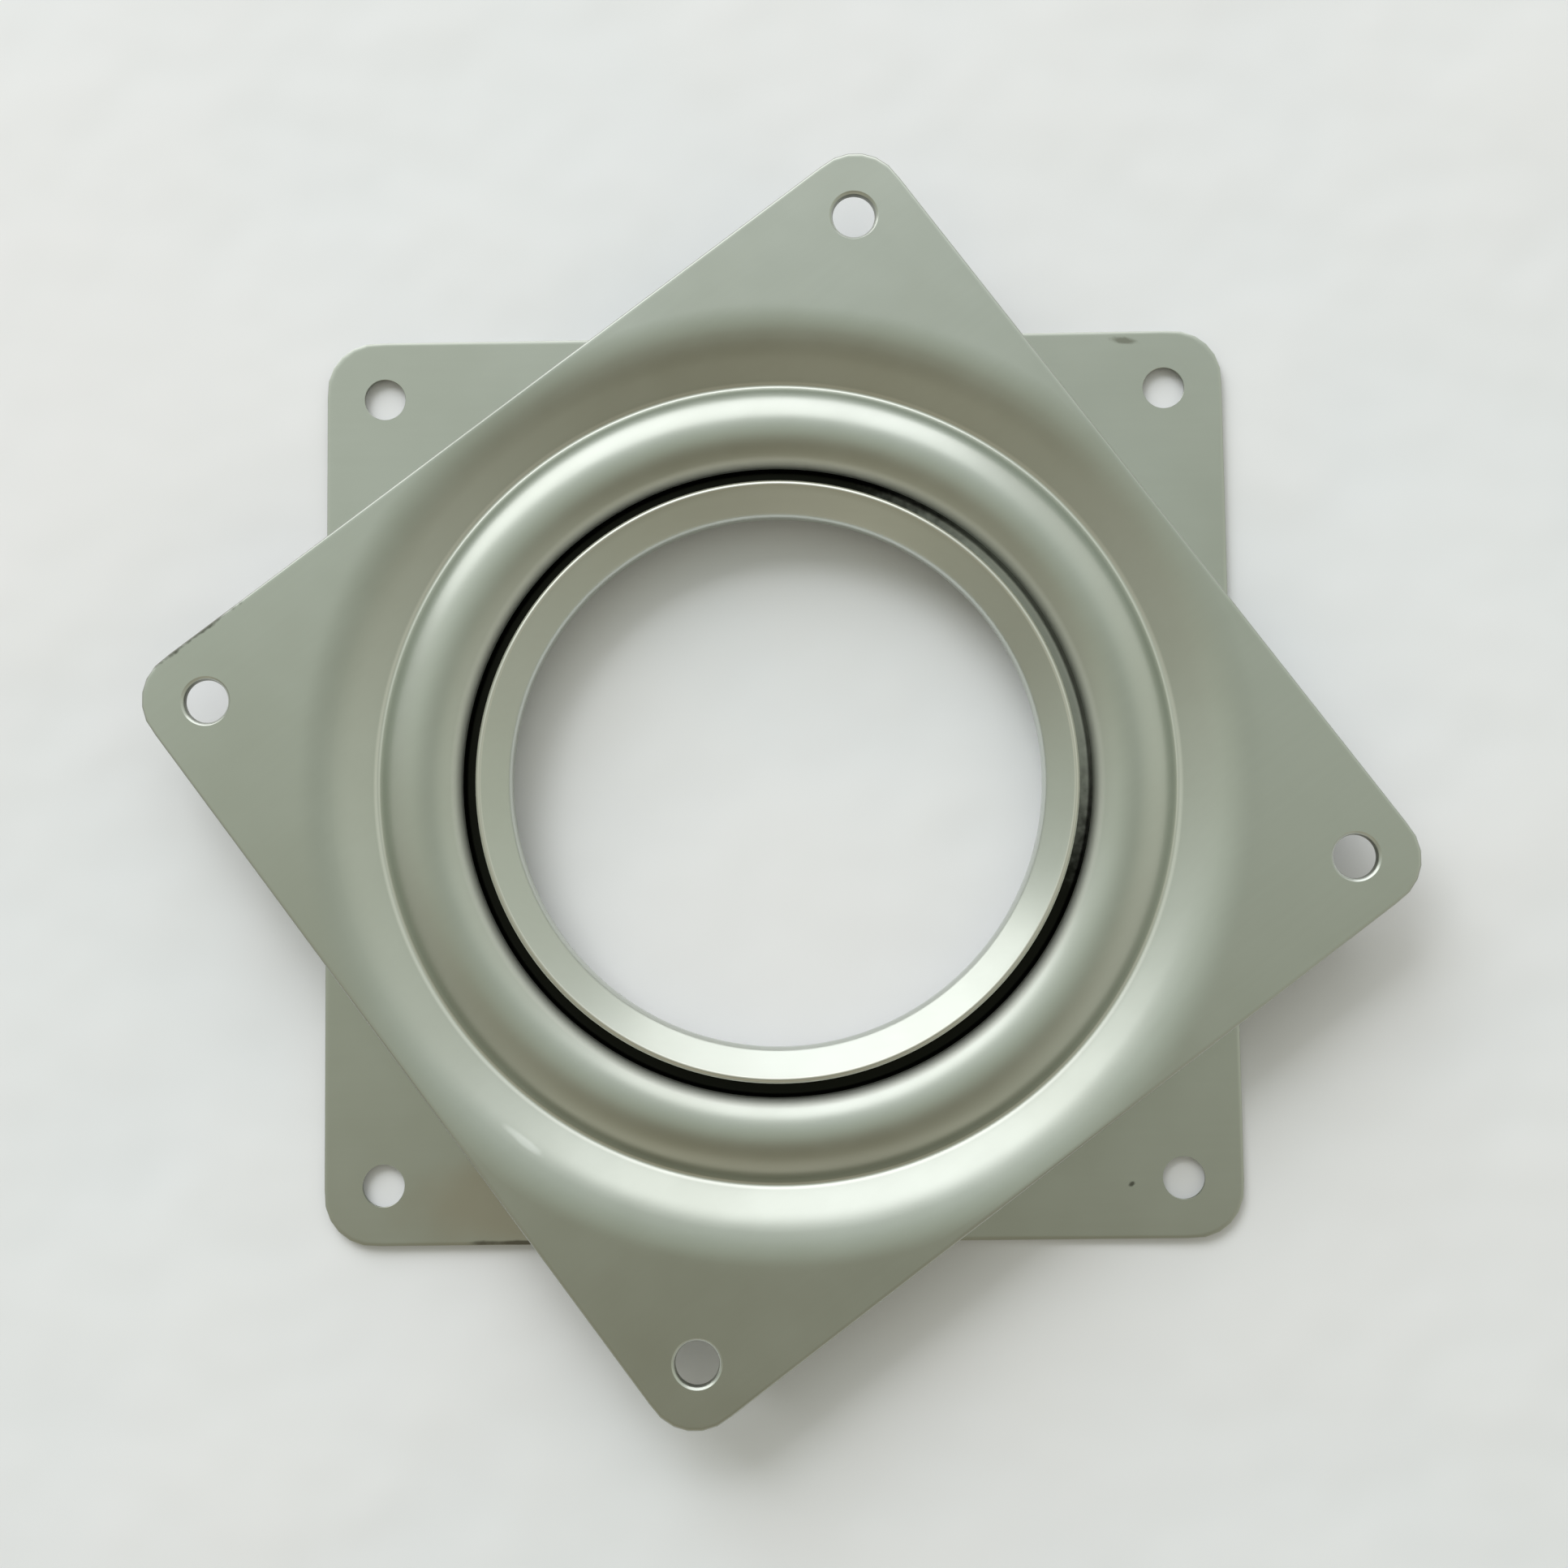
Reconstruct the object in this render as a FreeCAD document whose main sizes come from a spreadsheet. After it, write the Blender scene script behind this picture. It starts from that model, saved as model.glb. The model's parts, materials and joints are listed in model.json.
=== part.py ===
import FreeCAD, Part
import math
import os
import Sketcher
from FreeCAD import Rotation, Vector

# Square swivel bearing of pressed sheet steel: two plates, a row of loose balls between them,
# and a neck on the lower plate that is flared over the lip of the upper one.
# Both plates share one pressing from the rim to the ball race, and differ only at the centre.
# Each is drawn with its flat face on z = 0 and its depth upwards, then put in its place.

os.makedirs("parts", exist_ok=True)
doc = FreeCAD.newDocument("lazy_susan_bearing")

# Driving dimensions, in millimetres and degrees, then those that follow from them.
DIMENSIONS = {
    "plate_side": "116",
    "corner_radius": "6.2",
    "sheet_gauge": "1.0",
    "bearing_height": "9.5",
    "turned_angle": "36.55",
    "screw_spacing": "101",
    "screw_hole_radius": "2.65",
    "edge_roll": "0.3",
    "dish_radius": "59.3",
    "shoulder_bend": "12.2",
    "dish_slope": "31",
    "crease_bend": "0.5",
    "pitch_radius": "44.4",
    "race_bend": "7",
    "ball_count": "48",
    "ball_radius": "2.75",
    "ball_play": "0.05",
    "wall_radius": "39.2",
    "bead_edge_bend": "1.3",
    "lip_bend": "0.4",
    "lip_depth": "4.6",
    "lip_edge_radius": "34.65",
    "web_bend": "1.0",
    "web_depth": "1.9",
    "neck_bend": "2.75",
    "flare_bend": "1.4",
    "flare_depth": "5.4",
    "flare_angle": "50",
    "bore_radius": "33.2",
    "neck_height": "8.9",
    "half_side": "=plate_side / 2",
    "half_spacing": "=screw_spacing / 2",
    "blank_radius": "=half_side * 1.42",
    "trim_radius": "=half_side * 1.5",
    "race_centre_depth": "=bearing_height / 2 - ball_radius - ball_play - sheet_gauge + race_bend",
    "shoulder_inside_bend": "=shoulder_bend - sheet_gauge",
    "dish_heading": "=180 - dish_slope",
    "cone_slope": "=90 - flare_angle",
}
sheet = doc.addObject("Spreadsheet::Sheet", "dims")
for row, (word, content) in enumerate(DIMENSIONS.items(), start=1):
    sheet.set("A%d" % row, word)
    sheet.set("B%d" % row, content)
    sheet.setAlias("B%d" % row, word)
doc.recompute()


def size(word):
    return float(sheet.get(word))


# Sketching

def new_sketch(body, name, role):
    plane = next(part for part in body.Origin.OriginFeatures if part.Role == role)
    sketch = body.newObject("Sketcher::SketchObject", name)
    sketch.AttachmentSupport = [(plane, "")]
    sketch.MapMode = "FlatFace"
    return sketch


def rule(sketch, kind, *where):
    sketch.addConstraint(Sketcher.Constraint(kind, *where))


def bind(sketch, kind, *where, to):
    # Adds a dimension whose value comes from the sheet.
    value = math.radians(size(to)) if kind == "Angle" else size(to)
    index = sketch.addConstraint(Sketcher.Constraint(kind, *where, value))
    unit = "deg" if kind == "Angle" else "mm"
    sketch.setExpression("Constraints[%d]" % index, "dims.%s * 1 %s" % (to, unit))


# A section of the sheet is a chain of straight runs and bends, from the rim inwards.
# A run has a heading; a bend has a centre and a radius, negative where it turns clockwise.
# The outer face is the side of the flat, and the inner face lies one gauge further in.

def run(heading):
    return {"heading": Vector(*heading, 0)}


def bend(centre, radius, to):
    return {"centre": centre, "radius": radius, "to": to}


def joint(one, two, gauge):
    # The point where two neighbours of the chain meet, on the face at this depth of the sheet.
    if "centre" in one and "centre" in two:
        share = (one["radius"] + gauge) / (one["radius"] - two["radius"])
        return one["centre"] + (two["centre"] - one["centre"]) * share
    curve, straight = (one, two) if "centre" in one else (two, one)
    return curve["centre"] - left_of(straight) * (curve["radius"] + gauge)


def left_of(straight):
    return Vector(-straight["heading"].y, straight["heading"].x, 0)


def arrival(start, heading, centre, distance):
    # The first point of a straight run that lies this far from a centre.
    gap = centre - start
    nearest = gap.dot(heading)
    return start + heading * (nearest - math.sqrt(distance ** 2 - gap.Length ** 2 + nearest ** 2))


def draw_face(sketch, chain, start, end, gauge):
    # Draws one face of the sheet and returns each element with its way in and its way out.
    points = [start - left_of(chain[0]) * gauge]
    points += [joint(one, two, gauge) for one, two in zip(chain, chain[1:])]
    points += [end - left_of(chain[-1]) * gauge]
    drawn = []
    for step, (first, last) in zip(chain, zip(points, points[1:])):
        if "heading" in step:
            drawn.append((sketch.addGeometry(Part.LineSegment(first, last)), 1, 2))
            continue
        clockwise = step["radius"] < 0
        near, far = (last, first) if clockwise else (first, last)
        angles = [math.atan2(*reversed((point - step["centre"])[:2])) for point in (near, far)]
        circle = Part.Circle(step["centre"], Vector(0, 0, 1), abs(step["radius"] + gauge))
        arc = sketch.addGeometry(Part.ArcOfCircle(circle, *angles))
        drawn.append((arc, 2, 1) if clockwise else (arc, 1, 2))
    for (one, _, leaving), (two, entering, _) in zip(drawn, drawn[1:]):
        rule(sketch, "Tangent", one, leaving, two, entering)
    return drawn


def draw_section(sketch, chain, start, end):
    # Draws both faces, ties the inner one to the outer one, and closes the two cut edges.
    outer = draw_face(sketch, chain, start, end, 0)
    inner = draw_face(sketch, chain, start, end, size("sheet_gauge"))
    for step, (near, _, _), (far, _, _) in zip(chain, outer, inner):
        if "heading" in step:
            rule(sketch, "Parallel", near, far)
        else:
            rule(sketch, "Coincident", near, 3, far, 3)
            bind(sketch, "Radius", near, to=step["to"])
    bind(sketch, "Radius", inner[1][0], to="shoulder_inside_bend")
    for end_index, side in ((0, 1), (-1, 2)):
        near, far = outer[end_index], inner[end_index]
        near_point = sketch.getPoint(near[0], near[side])
        far_point = sketch.getPoint(far[0], far[side])
        edge = sketch.addGeometry(Part.LineSegment(near_point, far_point))
        rule(sketch, "Coincident", edge, 1, near[0], near[side])
        rule(sketch, "Coincident", edge, 2, far[0], far[side])
        rule(sketch, "Perpendicular", edge, near[0])
    return outer


def common_chain():
    # What both plates share: the flat, the shoulder, the slope of the dish, the crease and the race.
    crease_bend, race_bend = size("crease_bend"), size("race_bend")
    fall = math.radians(size("dish_slope"))
    slope = run((-math.cos(fall), math.sin(fall)))
    centre = Vector(size("dish_radius"), size("shoulder_bend"), 0)
    shoulder = bend(centre, -size("shoulder_bend"), "shoulder_bend")
    race = Vector(size("pitch_radius"), size("race_centre_depth"), 0)
    crease_track = joint(shoulder, slope, 0) + left_of(slope) * crease_bend
    crease = arrival(crease_track, slope["heading"], race, race_bend + crease_bend)
    return [
        run((-1, 0)),
        shoulder,
        slope,
        bend(crease, crease_bend, "crease_bend"),
        bend(race, -race_bend, "race_bend"),
    ]


def place_common(sketch, outer):
    flat, slope, race = outer[0][0], outer[2][0], outer[4][0]
    rule(sketch, "Horizontal", flat)
    rule(sketch, "PointOnObject", flat, 1, -1)
    bind(sketch, "DistanceX", -1, 1, flat, 1, to="blank_radius")
    bind(sketch, "DistanceX", -1, 1, flat, 2, to="dish_radius")
    bind(sketch, "Angle", slope, to="dish_heading")
    bind(sketch, "DistanceX", -1, 1, race, 3, to="pitch_radius")
    bind(sketch, "DistanceY", -1, 1, race, 3, to="race_centre_depth")


# The centre of each plate

def draw_lip(sketch):
    # Upper plate: the bead bends down into a short wall, and the wall turns inwards as a lip.
    chain = common_chain()
    race = chain[-1]["centre"]
    edge_bend, lip_bend = size("bead_edge_bend"), size("lip_bend")
    edge_x = size("wall_radius") + edge_bend
    edge_reach = size("race_bend") - edge_bend
    edge = Vector(edge_x, race.y - math.sqrt(edge_reach ** 2 - (race.x - edge_x) ** 2), 0)
    lip = Vector(size("wall_radius") - lip_bend, size("lip_depth") - lip_bend, 0)
    chain += [
        bend(edge, -edge_bend, "bead_edge_bend"),
        run((0, 1)),
        bend(lip, lip_bend, "lip_bend"),
        run((-1, 0)),
    ]
    start = Vector(size("blank_radius"), 0, 0)
    end = Vector(size("lip_edge_radius"), size("lip_depth"), 0)
    outer = draw_section(sketch, chain, start, end)
    place_common(sketch, outer)
    wall, flange = outer[6][0], outer[8][0]
    rule(sketch, "Vertical", wall)
    rule(sketch, "Horizontal", flange)
    bind(sketch, "DistanceX", -1, 1, wall, 1, to="wall_radius")
    bind(sketch, "DistanceY", -1, 1, flange, 2, to="lip_depth")
    bind(sketch, "DistanceX", -1, 1, flange, 2, to="lip_edge_radius")


def draw_neck(sketch):
    # Lower plate: the race runs out into a flat web, which turns up into a neck flared outwards.
    chain = common_chain()
    race = chain[-1]["centre"]
    web_bend, neck_bend, flare_bend = (size(w) for w in ("web_bend", "neck_bend", "flare_bend"))
    web_y = size("web_depth") - web_bend
    web_reach = size("race_bend") + web_bend
    web = Vector(race.x - math.sqrt(web_reach ** 2 - (race.y - web_y) ** 2), web_y, 0)
    neck = Vector(size("bore_radius") + neck_bend, size("web_depth") + neck_bend, 0)
    flare = Vector(size("bore_radius") + flare_bend, size("flare_depth"), 0)
    lean = math.radians(size("flare_angle"))
    cone = run((math.sin(lean), math.cos(lean)))
    chain += [
        bend(web, web_bend, "web_bend"),
        run((-1, 0)),
        bend(neck, -neck_bend, "neck_bend"),
        run((0, 1)),
        bend(flare, -flare_bend, "flare_bend"),
        cone,
    ]
    start = Vector(size("blank_radius"), 0, 0)
    foot = joint(chain[-2], cone, 0)
    end = foot + cone["heading"] * ((size("neck_height") - foot.y) / math.cos(lean))
    outer = draw_section(sketch, chain, start, end)
    place_common(sketch, outer)
    web_run, throat, flare_arc, cone_run = (outer[index][0] for index in (6, 8, 9, 10))
    rule(sketch, "Horizontal", web_run)
    rule(sketch, "Vertical", throat)
    bind(sketch, "DistanceY", -1, 1, web_run, 2, to="web_depth")
    bind(sketch, "DistanceX", -1, 1, throat, 1, to="bore_radius")
    bind(sketch, "DistanceY", -1, 1, flare_arc, 3, to="flare_depth")
    bind(sketch, "Angle", cone_run, to="cone_slope")
    bind(sketch, "DistanceY", -1, 1, cone_run, 2, to="neck_height")


# Plates

def draw_outline(sketch):
    # A square with round corners inside a circle: what lies between them is trimmed off.
    half, corner = size("half_side"), size("corner_radius")
    inset = half - corner
    sides, corners = [], []
    for turn in range(4):
        spin = Rotation(Vector(0, 0, 1), 90 * turn)
        first, last = Vector(half, -inset, 0), Vector(half, inset, 0)
        sides.append(sketch.addGeometry(Part.LineSegment(spin * first, spin * last)))
        circle = Part.Circle(spin * Vector(inset, inset, 0), Vector(0, 0, 1), corner)
        start = math.radians(90 * turn)
        corners.append(sketch.addGeometry(Part.ArcOfCircle(circle, start, start + math.pi / 2)))
    for turn in range(4):
        rule(sketch, "Tangent", sides[turn], 2, corners[turn], 1)
        rule(sketch, "Tangent", corners[turn], 2, sides[(turn + 1) % 4], 1)
        rule(sketch, "Vertical" if turn % 2 == 0 else "Horizontal", sides[turn])
        if turn:
            rule(sketch, "Equal", corners[0], corners[turn])
    bind(sketch, "Radius", corners[0], to="corner_radius")
    bind(sketch, "DistanceX", -1, 1, sides[0], 1, to="half_side")
    bind(sketch, "DistanceY", -1, 1, sides[1], 1, to="half_side")
    bind(sketch, "DistanceX", sides[2], 1, -1, 1, to="half_side")
    bind(sketch, "DistanceY", sides[3], 1, -1, 1, to="half_side")
    rim = sketch.addGeometry(Part.Circle(Vector(0, 0, 0), Vector(0, 0, 1), size("trim_radius")))
    rule(sketch, "Coincident", rim, 3, -1, 1)
    bind(sketch, "Radius", rim, to="trim_radius")


def cut_through(body, name, sketch):
    # A cut from the plane of the flat face all the way up through the sheet.
    before = body.Shape.Volume
    pocket = body.newObject("PartDesign::Pocket", name)
    pocket.Profile = sketch
    pocket.Type = "ThroughAll"
    pocket.Reversed = True
    doc.recompute()
    if body.Shape.Volume >= before:
        raise ValueError(name + " cuts nothing")
    return pocket


def pressed_plate(name, draw_centre):
    body = doc.addObject("PartDesign::Body", name)
    body.Label = name
    section = new_sketch(body, name + "_section", "XZ_Plane")
    draw_centre(section)
    pressing = body.newObject("PartDesign::Revolution", name + "_pressing")
    pressing.Profile = section
    pressing.ReferenceAxis = (section, ["V_Axis"])
    pressing.Angle = 360
    doc.recompute()

    outline = new_sketch(body, name + "_outline", "XY_Plane")
    draw_outline(outline)
    cut_through(body, name + "_trim", outline)

    spot = new_sketch(body, name + "_screw_spot", "XY_Plane")
    half = size("half_spacing")
    circle = Part.Circle(Vector(half, half, 0), Vector(0, 0, 1), size("screw_hole_radius"))
    hole = spot.addGeometry(circle)
    bind(spot, "Radius", hole, to="screw_hole_radius")
    bind(spot, "DistanceX", -1, 1, hole, 3, to="half_spacing")
    bind(spot, "DistanceY", -1, 1, hole, 3, to="half_spacing")
    first_hole = cut_through(body, name + "_screw_hole", spot)

    holes = body.newObject("PartDesign::PolarPattern", name + "_screw_holes")
    holes.Originals = [first_hole]
    holes.Axis = (spot, ["N_Axis"])
    holes.Angle = 360
    holes.Occurrences = 4
    body.Tip = holes
    doc.recompute()

    # The side that the blanking punch entered has a rolled edge all round.
    rolled = body.newObject("PartDesign::Fillet", name + "_edge_roll")
    rolled.Base = (holes, outline_edges(holes.Shape))
    rolled.setExpression("Radius", "dims.edge_roll")
    body.Tip = rolled
    doc.recompute()
    return body


def outline_edges(shape):
    # Names of the edges of the outline on the flat face.
    near_rim = size("half_side") - size("corner_radius")
    names = []
    for index, edge in enumerate(shape.Edges, start=1):
        box = edge.BoundBox
        reach = max(abs(box.XMin), abs(box.XMax), abs(box.YMin), abs(box.YMax))
        flat = abs(box.ZMin) < 1e-6 and abs(box.ZMax) < 1e-6
        whole_hole = reach < size("half_spacing") + size("screw_hole_radius") + 0.1
        if flat and reach > near_rim and not whole_hole:
            names.append("Edge%d" % index)
    return names


base_plate = pressed_plate("base_plate", draw_neck)
top_plate = pressed_plate("top_plate", draw_lip)

# The upper plate lies face up, turned on the lower one: a half turn about a level axis at half
# the turned angle does both.
half_turned = math.radians(size("turned_angle") / 2)
flip_axis = Vector(math.cos(half_turned), math.sin(half_turned), 0)
top_plate.Placement = FreeCAD.Placement(Vector(0, 0, size("bearing_height")), Rotation(flip_axis, 180))
top_plate.setExpression("Placement.Base.z", "dims.bearing_height")


# Balls

def ball(number):
    name = "ball_%02d" % number
    sphere = doc.addObject("Part::Sphere", name)
    sphere.Label = name
    sphere.setExpression("Radius", "dims.ball_radius")
    share = "360 * %d / dims.ball_count" % (number - 1)
    sphere.setExpression("Placement.Base.x", "dims.pitch_radius * cos(%s)" % share)
    sphere.setExpression("Placement.Base.y", "dims.pitch_radius * sin(%s)" % share)
    sphere.setExpression("Placement.Base.z", "dims.bearing_height / 2")
    return sphere


balls = [ball(number) for number in range(1, int(size("ball_count")) + 1)]
doc.recompute()

# Every object has to be sound before anything is written.
for thing in doc.Objects:
    if "Invalid" in thing.State or "Error" in thing.State:
        raise ValueError("%s failed: %s" % (thing.Name, thing.State))
pieces = [base_plate, top_plate] + balls
for piece in pieces:
    if piece.Shape.isNull() or not piece.Shape.isValid() or len(piece.Shape.Solids) != 1:
        raise ValueError(piece.Label + " is not one sound solid")
for piece in pieces:
    piece.Shape.exportStep("parts/%s.step" % piece.Label)
print("wrote", len(pieces), "pieces")
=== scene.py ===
import json
import math
import bpy
import bmesh
from mathutils import Matrix, Vector


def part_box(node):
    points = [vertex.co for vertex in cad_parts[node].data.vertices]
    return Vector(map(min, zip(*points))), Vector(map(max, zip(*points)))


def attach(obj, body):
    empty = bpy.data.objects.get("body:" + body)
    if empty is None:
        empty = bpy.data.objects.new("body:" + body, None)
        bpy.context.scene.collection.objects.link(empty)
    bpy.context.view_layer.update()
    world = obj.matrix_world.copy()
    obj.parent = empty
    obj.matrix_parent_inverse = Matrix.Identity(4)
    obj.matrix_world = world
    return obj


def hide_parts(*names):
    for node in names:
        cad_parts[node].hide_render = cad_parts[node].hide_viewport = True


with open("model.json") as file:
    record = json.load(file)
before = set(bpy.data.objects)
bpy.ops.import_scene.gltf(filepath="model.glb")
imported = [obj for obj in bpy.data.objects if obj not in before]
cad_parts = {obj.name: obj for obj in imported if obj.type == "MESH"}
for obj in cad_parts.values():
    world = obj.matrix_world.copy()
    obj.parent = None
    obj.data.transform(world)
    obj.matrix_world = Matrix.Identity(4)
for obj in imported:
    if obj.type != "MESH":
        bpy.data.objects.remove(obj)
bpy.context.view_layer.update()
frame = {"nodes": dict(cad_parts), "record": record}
mm = 0.001

# The bearing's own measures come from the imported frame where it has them.
mounts = {mount["name"]: mount for mount in frame["record"]["mounts"]}
baseLow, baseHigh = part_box("base_plate")
plateSide = baseHigh.x - baseLow.x
bearingHeight = mounts["top_face"]["pos_m"][2]
holeSpacing = mounts["base_screws"]["dims"]["spacing_x_mm"] * mm
holeRadius = mounts["base_screws"]["dims"]["hole_r_mm"] * mm

# The pressing that both plates share, in millimetres, its depth counted from the flat face.
pressing = {
    "gauge": 1.0,            # sheet thickness
    "cornerRadius": 6.2,     # of the square outline
    "topPlateTurn": 36.55,   # degrees
    "dishRadius": 59.3,      # where the flat begins to fall
    "shoulderBend": 12.2,
    "shoulderStep": 1.5,     # degrees between the points of the bend
    "dishSlope": 31.0,       # degrees
    "slopeShares": (0.25, 0.5, 0.75, 1.0),
    "creaseBend": 0.5,
    "creaseStep": 9.0,
    "raceRadius": 44.4,
    "raceBend": 7.0,
    "raceStep": 3.5,
    "raceCentreDepth": 7.95,
    "spokes": 288,           # vertices round each ring
    "lastRing": 55.5,        # the outermost ring that is still a circle
    "shoulderRings": 6,      # rings outside it that carry the end of the shoulder
    "shoulderShare": 0.7,    # of the way to the outline, at most
    "flatRings": 3,          # rings outside these, the last of them the outline
    "innerFlatRing": 0.06,   # as a share of the flat's width
    "outerFlatRing": 0.6,    # from the outline
    "edgeRoll": 0.3,         # rolled edge left by the blanking punch
    "edgeRollParts": 4,
    "burrEdge": 0.07,
    "burrParts": 2,
    "innerEdgeParts": 5,
    "smoothAngle": 30,       # degrees
}

# A punch for a screw hole: depth, and how much wider than the hole it is there, in millimetres.
# Its edge is rolled in at the top and leaves a fine burr below.
punchFlare = [(-0.3, 0.93), (0.0, 0.45), (0.115, 0.27), (0.28, 0.13), (0.48, 0.05), (0.75, 0.0),
              (0.95, 0.0), (1.0, 0.05), (1.4, 0.45)]
punchSides = 56

# How near to an edge its points are found, in millimetres.
nearEdge = {
    "outline": 0.01,
    "depth": 0.02,
    "corner": 0.03,
}

# Which faces the material treats on their own: shares of a normal, and millimetres.
faceTest = {
    "wallRise": 0.5,         # a wall's normal rises less than this
    "rollRise": 0.93,
    "rollWidth": 0.6,
    "grooveSide": 0.1,
    "rimRise": -0.2,
    "rimInward": -0.55,
    "rimDepth": 0.9,
    "rimSlope": 0.84,
}


def deselectAll():
    if bpy.context.object and bpy.context.object.mode != "OBJECT":
        bpy.ops.object.mode_set(mode="OBJECT")
    bpy.ops.object.select_all(action="DESELECT")


def makeActive(obj):
    deselectAll()
    obj.select_set(True)
    bpy.context.view_layer.objects.active = obj


def applyModifier(obj, kind, **settings):
    makeActive(obj)
    modifier = obj.modifiers.new(kind.lower(), kind)
    for key, value in settings.items():
        setattr(modifier, key, value)
    bpy.ops.object.modifier_apply(modifier=modifier.name)


def selectEdges(obj, wanted):
    # Leaves edit mode with the edges selected whose two ends both pass the test.
    makeActive(obj)
    bpy.ops.object.mode_set(mode="EDIT")
    bpy.ops.mesh.select_mode(type="EDGE")
    mesh = bmesh.from_edit_mesh(obj.data)
    for edge in mesh.edges:
        edge.select_set(all(wanted(vert.co) for vert in edge.verts))
    mesh.select_flush_mode()
    bmesh.update_edit_mesh(obj.data)


# Camera

cameraView = {
    "place": (3.22, -13.21, 216.41),   # mm, almost straight above
    "tilt": (3.441, 0.695, -0.707),    # degrees
    "lens": 38.73,                     # mm
    "sensor": 36.0,                    # mm
    "nearest": 10.0,                   # mm
}


def makeCamera():
    data = bpy.data.cameras.new("overheadCamera")
    data.lens = cameraView["lens"]
    data.sensor_width = cameraView["sensor"]
    data.clip_start = cameraView["nearest"] * mm
    camera = bpy.data.objects.new("overheadCamera", data)
    camera.location = [value * mm for value in cameraView["place"]]
    camera.rotation_euler = [math.radians(angle) for angle in cameraView["tilt"]]
    bpy.context.scene.collection.objects.link(camera)
    bpy.context.scene.camera = camera


# Section of the pressings

def arcPoints(centre, radius, startAngle, endAngle, step):
    # Points along an arc in (radius, depth), without its first point. Angles and step are in degrees.
    count = max(2, math.ceil(abs(endAngle - startAngle) / step))
    angles = [startAngle + (endAngle - startAngle) * i / count for i in range(1, count + 1)]
    return [(centre[0] + radius * math.cos(math.radians(a)),
             centre[1] + radius * math.sin(math.radians(a))) for a in angles]


def bearing(fromPoint, toPoint):
    return math.degrees(math.atan2(toPoint[1] - fromPoint[1], toPoint[0] - fromPoint[0]))


def arrival(start, heading, centre, distance):
    # The first point of a straight line that lies this far from a centre.
    gap = centre - start
    nearest = gap.dot(heading)
    return start + heading * (nearest - math.sqrt(distance ** 2 - gap.length_squared + nearest ** 2))


def sharedSection(raceEndAngle):
    # From the race's inner end out to the flat: race, crease, slope of the dish, shoulder.
    fall = math.radians(pressing["dishSlope"])
    inwards = Vector((-math.cos(fall), math.sin(fall)))
    intoSheet = Vector((math.sin(fall), math.cos(fall)))
    shoulder = Vector((pressing["dishRadius"], pressing["shoulderBend"]))
    race = Vector((pressing["raceRadius"], pressing["raceCentreDepth"]))
    slopeTop = shoulder - intoSheet * pressing["shoulderBend"]
    track = slopeTop - intoSheet * pressing["creaseBend"]
    crease = arrival(track, inwards, race, pressing["raceBend"] + pressing["creaseBend"])
    slopeFoot = crease + intoSheet * pressing["creaseBend"]
    raceEnd = bearing(race, crease)
    slope = pressing["dishSlope"]
    points = arcPoints(race, pressing["raceBend"], raceEndAngle, raceEnd, pressing["raceStep"])
    points += arcPoints(crease, pressing["creaseBend"], raceEnd + 180, 90 - slope, pressing["creaseStep"])
    points += [tuple(slopeFoot.lerp(slopeTop, share)) for share in pressing["slopeShares"]]
    points += arcPoints(shoulder, pressing["shoulderBend"], -90 - slope, -90, pressing["shoulderStep"])
    return [point for point in points if point[0] < pressing["lastRing"]]


def flatDepth(radius):
    # Depth of the flat face outside the last ring, where only the shoulder shapes it.
    if radius >= pressing["dishRadius"]:
        return 0.0
    fall = pressing["dishRadius"] - radius
    return pressing["shoulderBend"] - math.sqrt(pressing["shoulderBend"] ** 2 - fall ** 2)


def outlineReach(angle):
    # Distance from the axis to the rounded square outline, in the direction of the angle.
    half = plateSide / mm / 2
    corner = pressing["cornerRadius"]
    c, s = abs(math.cos(angle)), abs(math.sin(angle))
    straight = half / max(c, s)
    if straight * min(c, s) <= half - corner:
        return straight
    inset = half - corner
    middle = inset * (c + s)
    return middle + math.sqrt(middle ** 2 - 2 * inset ** 2 + corner ** 2)


def outerRing(ring, reach):
    # The shoulder's rings end where the flat begins. Two more keep what is between them flat in its
    # shading, and the last is the outline.
    start = pressing["lastRing"]
    shoulderRings = pressing["shoulderRings"]
    shoulderEnd = min(pressing["dishRadius"], start + (reach - start) * pressing["shoulderShare"])
    if ring <= shoulderRings:
        return start + (shoulderEnd - start) * ring / shoulderRings
    flat = reach - shoulderEnd
    shares = (pressing["innerFlatRing"], 1 - pressing["outerFlatRing"] / flat, 1.0)
    return shoulderEnd + flat * shares[ring - shoulderRings - 1]


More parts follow.
